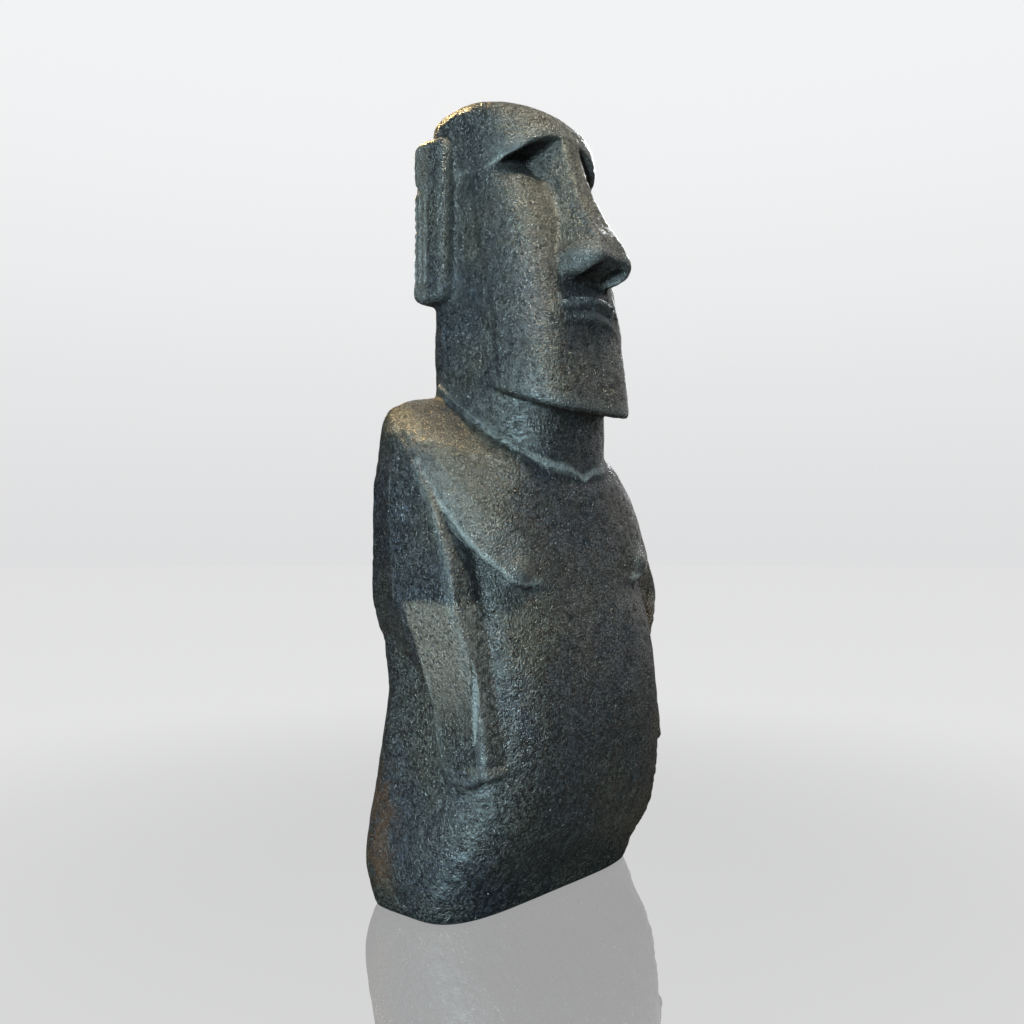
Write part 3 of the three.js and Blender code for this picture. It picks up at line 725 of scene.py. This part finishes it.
@dataclass(frozen=True)
class Zones:
    """Masks from 0 to 1 over the points: where the stone shows wear, is rough, flaked or stained,
    and where shade and highlights are painted into its colour.
    """
    figure: Figure
    line: float = .0045
    # Facing, in degrees from the front, and spread of the painted highlight on the corners.
    highlight_turn: float = 58.0
    highlight_spread: float = 17.0

    def forearm(self, points: Array) -> Array:
        """The outer plane of the forearms, from the elbow's edge down, between the bar's two sides."""
        side, fore, z = split(points)
        trunk = self.figure.trunk
        limb = trunk.limb(fore, z)
        below = ease(trunk.elbow + .004, trunk.elbow - .006, z)
        return below * ease(.50, .74, z) * ease(.004, -.008, limb) * ease(.34, .38, side)

    def edges(self, points: Array) -> Array:
        """Painted highlight: thin pale lines along the carved edges, where light catches both edges of the
        upper arm, the forearm's and the chest's.
        """
        side, fore, z = split(points)
        trunk = self.figure.trunk
        upper = ease(.86, .89, z) * ease(1.38, 1.25, z) * ease(.40, .43, side)
        arm = upper * np.maximum(bell(fore - smooth(trunk.arm_back, z), self.line),
                                 bell(fore - smooth(trunk.arm_front, z) + .003, self.line))
        lower = ease(.90, .87, z) * ease(.42, .55, z) * ease(.36, .40, side)
        lower = lower * bell(trunk.limb(fore, z), self.line)
        rise = (z - trunk.chest_line(fore)) / math.hypot(1, trunk.chest_edge[1])
        chest = bell(rise - .006, self.line) * ease(.20, .27, side) * ease(.03, .08, fore)
        return np.maximum(np.maximum(arm, lower), chest)

    def shade(self, points: Array) -> Array:
        """Painted shade: darkening in the valleys in front of the arm and forearm, a painted shadow under
        the fingertips, painted shade in the nipples' pits and the jaw's painted shadow on the throat.
        """
        side, fore, z = split(points)
        trunk = self.figure.trunk
        ahead = fore - smooth(trunk.arm_front, z)
        upper = ease(-.020, -.010, ahead) * ease(.080, .035, ahead)
        upper = upper * ease(.84, .88, z) * ease(1.24, 1.10, z)
        upper = upper * ease(.34, .40, side) * ease(-.008, -.014, side - straight(trunk.upper_arm, z))
        lower = ease(.89, .86, z) * ease(.46, .54, z) * ease(.34, .37, side) * ease(.436, .428, side)
        valley = np.maximum(upper, lower * ease(.200, .225, fore) * ease(.340, .300, fore))
        # Painted shadow under the fingertips, then painted shade in the nipples' pits.
        notch = bell(z - .420, .007) * bell(side - .425, .030) * bell(fore - .265, .045)
        out = trunk.nipple_middle[0]
        pits = sum(bell(points[..., 0] - hand * out, .013) * bell(z - height + .006, .011)
                   for hand, height in trunk.nipples) * ease(.1, .2, fore)
        # Painted shadow of the jaw on the throat.
        throat = ease(.0, .02, z - 1.45 + .7 * fore) * ease(1.52, 1.46, z) * ease(.10, .18, fore)
        return np.clip(.85 * valley + notch + pits + .75 * throat * ease(.20, .10, side), 0.0, 1.0)

    def fingertip_highlight(self, points: Array) -> Array:
        """Painted highlight on the lit tops of the fingertips."""
        side, fore, z = split(points)
        return bell(z - .438 + .12 * (fore - .26), .009) * bell(side - .425, .035) * bell(fore - .258, .030)

    def corner_highlight(self, points: Array, normal: Array) -> Array:
        """Painted highlight on the corners of the belly, foot and neck, where the surface faces between
        front and side.
        """
        turn = np.degrees(np.arctan2(np.abs(normal[..., 0]), -normal[..., 1]))
        z = points[..., 2]
        body = ease(.05, .12, z) * ease(1.06, .92, z)
        neck = ease(1.20, 1.25, z) * ease(1.58, 1.50, z) * ease(.26, .24, np.abs(points[..., 0]))
        facing = bell(turn - self.highlight_turn, self.highlight_spread) * ease(.75, .35, np.abs(normal[..., 2]))
        return facing * np.maximum(body, neck)

    def ear_back(self, points: Array) -> Array:
        """The rougher rear part of the ears."""
        head = self.figure.head
        side, fore, z = split(points)
        across = fore - head.ear_middle[0]
        within = ease(.26, .22, np.abs(z - head.ear_middle[1]))
        return ease(.006, -.010, across) * ease(.23, .26, side) * within

    def base_corner(self, points: Array) -> Array:
        """The front corners of the foot, below the hands, where flakes have come off."""
        side, fore, z = split(points)
        turn = np.degrees(np.arctan2(side, fore - .02))
        return ease(40, 54, turn) * ease(88, 72, turn) * ease(.46, .36, z) * ease(.0, .06, z)

    def foot_stain(self, points: Array) -> Array:
        """The rear edge of the foot on the figure's right, stained by iron."""
        x, fore, z = points[..., 0], -points[..., 1], points[..., 2]
        return ease(-.36, -.44, x) * ease(.02, -.10, fore) * ease(.46, .30, z) * ease(.02, .12, z)


@dataclass(frozen=True)
class Dressing:
    """How the worked surface departs from the drawn one: tool marks, dents, chips and flakes."""
    swell: float = .0014
    dent: float = .0016
    chip: float = .0034
    flake: float = .0034
    rough: float = .0010
    seed: int = 4100

    def depth(self, points: Array, ridge: Array, zones: Zones) -> Array:
        """Depth cut into the surface at each point.

        It is the sum of long swells, round dents where a second wave field rises above .4, chips where
        the ridges meet a high of a third, steps of flaked stone at the base corners, and tooth on the
        rough parts.

        Args:
            points: points (..., 3).
            ridge: how sharp an outer edge is, from 0 to 1.
            zones: masks of the rough parts.

        Returns:
            Depth in metres, mostly positive.
        """
        swell = 1 + .7 * waves(points, .110, self.seed) + .4 * waves(points, .055, self.seed + 1)
        swell = self.swell * .5 * swell
        dent = self.dent * np.maximum(0.0, waves(points, .034, self.seed + 2) - .4)
        chip = self.chip * ridge * ease(.6, 1.5, waves(points, .040, self.seed + 3))
        ripple = waves(points, .036, self.seed + 4, (2.6, 2.6, 1.0))
        corner = zones.base_corner(points)
        flake = self.flake * corner * (np.mod(ripple * .9 + 8.0, 1.0) ** 2 + .3 * ripple)
        coarse = zones.forearm(points) + .9 * zones.ear_back(points) + .6 * corner
        rough = self.rough * coarse * waves(points, .022, self.seed + 5)
        return swell + dent + chip + flake + rough


def put_in_scene(name: str, data: bpy.types.ID) -> bpy.types.Object:
    """Puts a new object with this data into the scene."""
    thing = bpy.data.objects.new(name, data)
    bpy.context.scene.collection.objects.link(thing)
    return thing


@dataclass
class Statue:
    """The statue as one closed mesh with its wear stored as attributes."""
    figure: Figure
    dressing: Dressing = field(default_factory=Dressing)
    near: float = .010
    far: float = .045

    def corners(self, points: Array, normal: Array, steep: Array) -> dict[str, Array]:
        """Sharpness of hollows and edges at two reaches h.

        A hollow is 1 - d(p + h n)/h, which is 0 in the open, and a ridge is 1 + d(p - h n)/h, where d is
        the formula's distance over the length of its slope.
        """
        found = {}
        for name, reach in (("fine", self.near), ("broad", self.far)):
            out = self.figure.distance(points + reach * normal) / (steep * reach)
            inward = self.figure.distance(points - reach * normal) / (steep * reach)
            found[f"{name}_hollow"] = np.clip(1.0 - out, 0.0, 1.0)
            found[f"{name}_ridge"] = np.clip(1.0 + inward, 0.0, 1.0)
        return found

    def build(self) -> bpy.types.Object:
        """Makes the statue's mesh.

        Returns:
            The object, at the origin, named after what it is.
        """
        surface = SurfaceGrid(self.figure)
        grid = surface.build()
        faces = surface.faces(grid)
        slope = self.figure.slope(grid)
        steep = np.maximum(np.linalg.norm(slope, axis=-1, keepdims=True), .2)
        normal = slope / steep
        marks = self.corners(grid, normal, steep[..., 0])
        zones = Zones(self.figure)
        # Masks for the colour: painted shade and highlights, and the stone's rough parts and stain.
        marks |= {"edge": zones.edges(grid), "shade": zones.shade(grid), "fingertip_highlight": zones.fingertip_highlight(grid),
                  "corner_highlight": zones.corner_highlight(grid, normal), "forearm": zones.forearm(grid),
                  "ear_back": zones.ear_back(grid), "stain": zones.foot_stain(grid)}
        depth = self.dressing.depth(grid, marks["fine_ridge"], zones) * ease(0.0, .03, grid[..., 2])
        cut = grid - depth[..., None] * normal
        foot = np.array([0.0, cut[0, :, 1].mean(), 0.0])
        points = np.concatenate([cut.reshape(-1, 3), foot[None], surface.pole[None]])

        mesh = bpy.data.meshes.new("statue_stone")
        mesh.from_pydata(points.tolist(), [], faces.tolist())
        mesh.polygons.foreach_set("use_smooth", np.ones(len(faces), bool))
        for name, values in marks.items():
            layer = mesh.attributes.new(name, "FLOAT", "POINT")
            layer.data.foreach_set("value", np.concatenate([values.ravel(), [0.0, 0.0]]).astype(np.float32))
        mesh.update()
        mesh.validate()
        LOG.info("statue_stone: %d points, %d faces", len(points), len(faces))
        return put_in_scene("statue_stone", mesh)


# ---- Finishes --------------------------------------------------------------------------------------

Socket = bpy.types.NodeSocket
Colour = tuple[float, float, float]


class Net:
    """A node tree that is built up with short calls."""

    def __init__(self, tree: bpy.types.NodeTree) -> None:
        """Keeps the tree."""
        self.tree = tree

    def feed(self, socket: Socket, value: object) -> None:
        """Links a socket to another one, or sets its own value."""
        if isinstance(value, bpy.types.NodeSocket):
            self.tree.links.new(value, socket)
        else:
            socket.default_value = value

    def add(self, kind: str, feeds: dict[str | int, object] | None = None,
            **settings: object) -> bpy.types.Node:
        """Adds a node with its settings, and feeds its inputs by name or number."""
        node = self.tree.nodes.new(kind)
        for name, value in settings.items():
            setattr(node, name, value)
        for name, value in (feeds or {}).items():
            self.feed(node.inputs[name], value)
        return node

    def noise(self, spot: Socket, size: float, detail: float = 2.0, rough: float = .5) -> Socket:
        """Noise whose largest lumps are `size` metres across."""
        return self.add("ShaderNodeTexNoise", {"Vector": spot, "Scale": 1.0 / size, "Detail": detail,
                                               "Roughness": rough}).outputs[0]

    def sums(self, operation: str, *values: object, clamp: bool = False) -> Socket:
        """One step of arithmetic."""
        node = self.add("ShaderNodeMath", dict(enumerate(values)), operation=operation, use_clamp=clamp)
        return node.outputs[0]

    def ramp(self, value: Socket, start: float, end: float, low: float = 0.0, high: float = 1.0) -> Socket:
        """A smooth step from low at start to high at end."""
        return self.add("ShaderNodeMapRange", {"Value": value, "From Min": start, "From Max": end,
                                               "To Min": low, "To Max": high},
                        interpolation_type="SMOOTHSTEP").outputs[0]

    def mix(self, share: Socket | float, first: object, second: object, blend: str = "MIX") -> Socket:
        """Mixes two colours."""
        node = self.add("ShaderNodeMix", {0: share}, data_type="RGBA", blend_type=blend)
        for socket, value in ((node.inputs[6], first), (node.inputs[7], second)):
            self.feed(socket, value if isinstance(value, bpy.types.NodeSocket) else (*value, 1.0))
        return node.outputs[2]

    def mark(self, name: str) -> Socket:
        """A value stored on the mesh's points."""
        return self.add("ShaderNodeAttribute", attribute_name=name).outputs["Fac"]

    def placed(self, group: bpy.types.NodeTree, feeds: dict[str, object]) -> bpy.types.Node:
        """Places a group with its own values."""
        node = self.add("ShaderNodeGroup")
        node.node_tree = group
        for name, value in feeds.items():
            self.feed(node.inputs[name], value)
        return node


def fresh_net(owner: bpy.types.Material | bpy.types.World) -> Net:
    """Empties the owner's node tree and returns it as a net."""
    owner.use_nodes = True
    owner.node_tree.nodes.clear()
    return Net(owner.node_tree)


def new_group(name: str, inputs: Sequence[tuple[str, str]], outputs: Sequence[tuple[str, str]]
              ) -> tuple[Net, dict[str, Socket], bpy.types.Node]:
    """Starts a node group.

    Args:
        name: the group's name.
        inputs: (name, kind) of each input, kind being Float, Vector or Color.
        outputs: the same for each output.

    Returns:
        The net, its input sockets by name, and the output node.
    """
    tree = bpy.data.node_groups.new(name, "ShaderNodeTree")
    for way, sockets in (("INPUT", inputs), ("OUTPUT", outputs)):
        for label, kind in sockets:
            tree.interface.new_socket(label, in_out=way, socket_type=f"NodeSocket{kind}")
    net = Net(tree)
    entry, end = net.add("NodeGroupInput"), net.add("NodeGroupOutput")
    return net, {label: entry.outputs[label] for label, _ in inputs}, end


def pit_group() -> bpy.types.NodeTree:
    """Round pits: in a share of the cells, a dip of 1 - (distance/radius)^2 about the cell's point."""
    net, given, end = new_group("pits", [("Place", "Vector"), ("Per metre", "Float"), ("Share", "Float"),
                                         ("Radius", "Float")], [("Depth", "Float")])
    cells = net.add("ShaderNodeTexVoronoi", {"Vector": given["Place"], "Scale": given["Per metre"]})
    pick = net.add("ShaderNodeSeparateColor", {0: cells.outputs["Color"]}).outputs[0]
    reach = net.sums("DIVIDE", cells.outputs["Distance"], given["Radius"])
    dip = net.sums("SUBTRACT", 1.0, net.sums("MULTIPLY", reach, reach), clamp=True)
    chosen = net.sums("LESS_THAN", pick, given["Share"])
    net.feed(end.inputs["Depth"], net.sums("MULTIPLY", dip, chosen))
    return net.tree


def grain_group() -> bpy.types.NodeTree:
    """Mineral grain: each cell has its own tone, the palest and the darkest few stand out as specks."""
    net, given, end = new_group("grain", [("Place", "Vector"), ("Per metre", "Float")],
                                [("Tone", "Float"), ("Pale", "Float"), ("Dark", "Float")])
    cells = net.add("ShaderNodeTexVoronoi", {"Vector": given["Place"], "Scale": given["Per metre"]})
    tone = net.add("ShaderNodeSeparateColor", {0: cells.outputs["Color"]})
    net.feed(end.inputs["Tone"], tone.outputs[0])
    net.feed(end.inputs["Pale"], net.ramp(tone.outputs[1], .80, .98))
    net.feed(end.inputs["Dark"], net.ramp(tone.outputs[2], .74, .96))
    return net.tree


def wear_and_shade_group() -> bpy.types.NodeTree:
    """Ridges and hollows from the mesh, each broken up by noise: ridges as wear and partly painted
    highlight, hollows as painted shade.
    """
    net, given, end = new_group("wear_and_shade", [("Ridge", "Float"), ("Hollow", "Float"), ("Break", "Float")],
                                [("Worn", "Float"), ("Deep", "Float")])
    broken = net.sums("MULTIPLY_ADD", given["Break"], .9, -.45)
    net.feed(end.inputs["Worn"], net.ramp(net.sums("ADD", given["Ridge"], broken), .12, .62))
    net.feed(end.inputs["Deep"], net.ramp(net.sums("ADD", given["Hollow"], broken), .05, .75))
    return net.tree


@dataclass(frozen=True)
class Basalt:
    """Dark fine-grained basalt, dressed by pecking, with wear on its edges; its colour also holds
    painted shade and painted highlights.
    """
    cool: Colour = (.018, .021, .028)
    warm: Colour = (.036, .033, .025)
    pale: Colour = (.150, .148, .135)
    # Near-black: painted shade in hollows and valleys, and the darkest grain specks.
    dark: Colour = (.004, .005, .006)
    # Pale colour of wear on the ridges, also painted highlight along the carved edges.
    worn: Colour = (.260, .275, .265)
    tooth: Colour = (.275, .228, .180)
    rust: Colour = (.110, .050, .022)
    # Teal painted highlight on the corners of the belly, foot and neck.
    painted_highlight: Colour = (.165, .195, .200)
    # Warm painted highlight on the lit tops of the fingertips.
    highlight_olive: Colour = (.200, .185, .120)
    roughness: float = .35

    def colour(self, net: Net, spot: Socket, worn: Socket, hollow_shade: Socket, grain: bpy.types.Node) -> Socket:
        """Base colour: patches, grain, rough parts, painted shade in hollows and valleys, painted
        highlights on corners and fingertips, pale edges that are partly wear and partly painted
        highlight, and iron stain.
        """
        patches = net.ramp(net.noise(spot, .42, 4.0, .6), .36, .64)
        ground = net.mix(patches, self.cool, self.warm)
        cloud = net.ramp(net.noise(spot, .055, 5.0, .65), .30, .70, .70, 1.30)
        speckle = net.sums("POWER", grain.outputs["Tone"], 2.0)
        tone = net.sums("MULTIPLY", cloud, net.sums("MULTIPLY_ADD", speckle, 2.9, .14))
        grey = net.add("ShaderNodeCombineColor", {0: tone, 1: tone, 2: tone})
        ground = net.mix(1.0, ground, grey.outputs[0], "MULTIPLY")
        bare = net.sums("MULTIPLY", net.mark("forearm"), net.ramp(net.noise(spot, .009, 2.0), .30, .52))
        bare = net.sums("MULTIPLY_ADD", net.mark("ear_back"), .30, bare, clamp=True)
        # Painted highlight on the corners, broken into short level strokes.
        strokes = net.add("ShaderNodeVectorMath", {0: spot, 1: (1.0, 1.0, 3.2)}, operation="MULTIPLY")
        painted_highlight = net.ramp(net.noise(strokes.outputs[0], .030, 3.0, .65), .47, .62)
        painted_highlight = net.sums("MULTIPLY", net.mark("corner_highlight"), painted_highlight)
        stain = net.sums("MULTIPLY", net.mark("stain"), net.ramp(net.noise(spot, .05, 4.0), .35, .62))
        # Layers: rough tooled stone, painted shade in hollows, painted highlight on corners and fingertips,
        # painted shade in valleys, pale edges (wear and painted highlight), iron stain, grain specks.
        for mask, share, tint in (
                (bare, .80, self.tooth), (hollow_shade, .60, self.dark), (painted_highlight, .72, self.painted_highlight),
                (net.mark("fingertip_highlight"), .80, self.highlight_olive), (net.mark("shade"), .80, self.dark),
                (worn, .75, self.worn), (stain, .75, self.rust),
                (grain.outputs["Dark"], .55, self.dark), (grain.outputs["Pale"], .42, self.pale)):
            ground = net.mix(net.sums("MULTIPLY", mask, share), ground, tint)
        return ground

    def relief(self, net: Net, spot: Socket, pits: bpy.types.NodeTree) -> Socket:
        """Normal from three sizes of relief: large pits, tool-pecked grain and fine tooth."""
        large = net.placed(pits, {"Place": spot, "Per metre": 34.0, "Share": .30, "Radius": .42})
        small = net.placed(pits, {"Place": spot, "Per metre": 105.0, "Share": .55, "Radius": .52})
        pecks = net.noise(spot, .0052, 1.5, .5)
        tooth = net.noise(spot, .0028, 2.0, .6)
        coarse = net.sums("MULTIPLY_ADD", net.mark("forearm"), .6, 1.0)
        height = net.sums("MULTIPLY_ADD", large.outputs[0], -.0016, net.sums("MULTIPLY", pecks, .0058))
        height = net.sums("MULTIPLY_ADD", small.outputs[0], -.0014, height)
        height = net.sums("MULTIPLY", height, coarse)
        first = net.add("ShaderNodeBump", {"Strength": 1.0, "Distance": 1.0, "Height": height})
        second = net.add("ShaderNodeBump", {"Strength": 1.0, "Distance": .0014, "Height": tooth,
                                            "Normal": first.outputs[0]})
        return second.outputs[0]

    def make(self) -> bpy.types.Material:
        """Builds the material."""
        material = bpy.data.materials.new("basalt_dressed")
        net = fresh_net(material)
        spot = net.add("ShaderNodeTexCoord").outputs["Object"]
        grain = net.placed(grain_group(), {"Place": spot, "Per metre": 165.0})
        pits = pit_group()
        broken = net.noise(spot, .018, 4.0, .65)
        wear_and_shade = wear_and_shade_group()
        edge, wide = (net.placed(wear_and_shade, {"Ridge": net.mark(f"{reach}_ridge"), "Break": broken,
                                           "Hollow": net.mark(f"{reach}_hollow")})
                      for reach in ("fine", "broad"))
        # Pale ridges: wear on the edges, and partly painted highlight where light catches them.
        worn = net.sums("MULTIPLY_ADD", wide.outputs["Worn"], .25, edge.outputs["Worn"], clamp=True)
        # Painted highlight: pale lines along the carved edges of the arms and chest.
        lines = net.sums("MULTIPLY", net.mark("edge"), net.ramp(broken, .42, .60, .05, .50))
        worn = net.sums("MAXIMUM", worn, lines)
        # Painted shade in the hollows, at the fine and the broad reach.
        hollow_shade = net.sums("MAXIMUM", edge.outputs["Deep"], net.sums("MULTIPLY", wide.outputs["Deep"], .6))
        spread = net.ramp(net.noise(spot, .020, 4.0, .7), .30, .70,
                          self.roughness - .10, self.roughness + .12)
        spread = net.sums("MULTIPLY_ADD", grain.outputs["Tone"], -.16, spread)
        dull = net.sums("MULTIPLY_ADD", hollow_shade, .25, spread, clamp=True)
        skin = net.add("ShaderNodeBsdfPrincipled", {
            "Base Color": self.colour(net, spot, worn, hollow_shade, grain), "Roughness": dull,
            "Normal": self.relief(net, spot, pits), "IOR": 1.55, "Specular IOR Level": .80})
        net.add("ShaderNodeOutputMaterial", {0: skin.outputs[0]})
        return material


@dataclass(frozen=True)
class PaleFloor:
    """Smooth pale studio floor: the camera sees a mirror over a glow that evens out into the horizon."""
    colour: Colour = (.075, .075, .077)
    near_glow: float = .530
    far_glow: float = .760
    mirror: float = .36
    glow_reach: tuple[float, float] = (.6, 4.0)

    def make(self) -> bpy.types.Material:
        """Builds the material."""
        material = bpy.data.materials.new("floor_pale")
        net = fresh_net(material)
        spot = net.add("ShaderNodeTexCoord").outputs["Object"]
        away = net.add("ShaderNodeVectorMath", {0: spot}, operation="LENGTH")
        strength = net.ramp(away.outputs["Value"], *self.glow_reach, self.near_glow, self.far_glow)
        glow = net.add("ShaderNodeEmission", {"Strength": strength})
        mirror = net.add("ShaderNodeBsdfAnisotropic", {"Color": (1.0, 1.0, 1.0, 1.0), "Roughness": 0.0})
        sight = net.add("ShaderNodeMixShader", {0: self.mirror, 1: glow.outputs[0], 2: mirror.outputs[0]})
        dull = net.add("ShaderNodeBsdfPrincipled", {"Base Color": (*self.colour, 1.0), "Roughness": .9})
        seen = net.add("ShaderNodeLightPath").outputs["Is Camera Ray"]
        whole = net.add("ShaderNodeMixShader", {0: seen, 1: dull.outputs[0], 2: sight.outputs[0]})
        net.add("ShaderNodeOutputMaterial", {0: whole.outputs[0]})
        return material


# ---- Studio ----------------------------------------------------------------------------------------

class Lamp(Enum):
    """Area lamps: (azimuth, elevation, width, height, watts, colour). Azimuth 0 is in front, -90 at -X."""
    SIDE = (-66.0, 8.0, .8, 2.4, 700.0, (.66, .91, 1.0))
    FRONT = (20.0, 73.0, 1.3, 1.3, 400.0, (1.0, .91, .68))
    FAR_EDGE = (112.0, 31.0, 1.2, 1.9, 170.0, (.90, .96, 1.0))
    CROWN = (168.0, 50.0, .6, .6, 200.0, (1.0, .72, .34))


@dataclass(frozen=True)
class Studio:
    """Wide pale floor, soft lamps, even surroundings and the camera."""
    floor_radius: float = 60.0
    lamp_distance: float = 7.0
    aim: tuple[float, float, float] = (0.0, 0.0, 1.2)
    horizon: float = .745
    zenith: float = .90
    fill: float = .09
    bright_side: float = 108.0
    bright_edge: tuple[float, float] = (.66, .92)
    tint: Colour = (.985, .99, 1.0)
    dim_side: float = .06
    camera_azimuth: float = -49.0
    camera_distance: float = 3.1
    camera_height: float = 1.02
    camera_rise: float = 38 / 980
    lens: float = 34.45

    def floor(self) -> bpy.types.Object:
        """A round floor: one ring of 96 points about the vertical axis."""
        turn = np.linspace(0, 2 * np.pi, 96, endpoint=False)
        ring = np.stack([np.cos(turn), np.sin(turn), 0 * turn], -1) * self.floor_radius
        mesh = bpy.data.meshes.new("floor")
        mesh.from_pydata(ring.tolist(), [], [list(range(96))])
        mesh.materials.append(PaleFloor().make())
        mesh.update()
        return put_in_scene("floor", mesh)

    def lamps(self) -> None:
        """Puts each area lamp at its place, turned towards the statue's middle."""
        for lamp in Lamp:
            azimuth, elevation, width, height, watts, colour = lamp.value
            a, e = math.radians(azimuth), math.radians(elevation)
            data = bpy.data.lights.new(f"lamp_{lamp.name.lower()}", "AREA")
            data.shape, data.size, data.size_y = "RECTANGLE", width, height
            data.energy, data.color = watts, colour
            holder = put_in_scene(data.name, data)
            outward = Vector((math.sin(a) * math.cos(e), -math.cos(a) * math.cos(e), math.sin(e)))
            holder.location = Vector(self.aim) + outward * self.lamp_distance
            holder.rotation_euler = (-outward).to_track_quat("-Z", "Y").to_euler()
            holder.visible_camera = False

    def surround(self) -> None:
        """Pale backdrop, brighter upwards; stone mirrors it dimmer away from bright_side."""
        world = bpy.data.worlds.new("studio")
        net = fresh_net(world)
        heading = net.add("ShaderNodeSeparateXYZ", {0: net.add("ShaderNodeTexCoord").outputs["Generated"]})
        glow = net.ramp(heading.outputs["Z"], -.05, .45, self.horizon, self.zenith)
        a = math.radians(self.bright_side)
        behind = net.sums("MULTIPLY_ADD", heading.outputs["Y"], -math.cos(a),
                          net.sums("MULTIPLY", heading.outputs["X"], math.sin(a)))
        mirrored = net.sums("MULTIPLY", glow, net.ramp(behind, *self.bright_edge, self.dim_side, 1.0))
        path = net.add("ShaderNodeLightPath")
        lit = net.add("ShaderNodeMix", {0: path.outputs["Is Glossy Ray"], 2: self.fill, 3: mirrored})
        sharp = net.sums("MAXIMUM", path.outputs["Is Camera Ray"], path.outputs["Is Singular Ray"])
        level = net.add("ShaderNodeMix", {0: sharp, 2: lit.outputs[0], 3: glow})
        both = net.add("ShaderNodeBackground", {"Color": (*self.tint, 1.0), "Strength": level.outputs[0]})
        net.add("ShaderNodeOutputWorld", {0: both.outputs[0]})
        bpy.context.scene.world = world

    def camera(self) -> None:
        """A camera at the figure's right front, tipped up slightly."""
        data = bpy.data.cameras.new("camera")
        data.lens, data.sensor_width = self.lens, 36.0
        a = math.radians(self.camera_azimuth)
        holder = put_in_scene("camera", data)
        holder.location = (math.sin(a) * self.camera_distance, -math.cos(a) * self.camera_distance,
                           self.camera_height)
        holder.rotation_euler = (math.pi / 2 + math.atan(self.camera_rise), 0.0, a)
        bpy.context.scene.camera = holder

    def build(self) -> None:
        """Sets up the whole studio."""
        self.floor()
        self.lamps()
        self.surround()
        self.camera()
        LOG.info("studio: floor, %d lamps, camera", len(Lamp))


def main() -> None:
    """Builds the studio and the statue."""
    logging.basicConfig(level=logging.INFO, format="%(name)s %(message)s")
    bpy.context.scene.view_settings.view_transform = "Standard"
    Studio().build()
    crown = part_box("statue")[1][2]
    stone = Statue(Figure(Head(crown=crown))).build()
    stone.data.materials.append(Basalt().make())
    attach(stone, "root")
    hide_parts("statue")


if __name__ == "__main__":
    main()
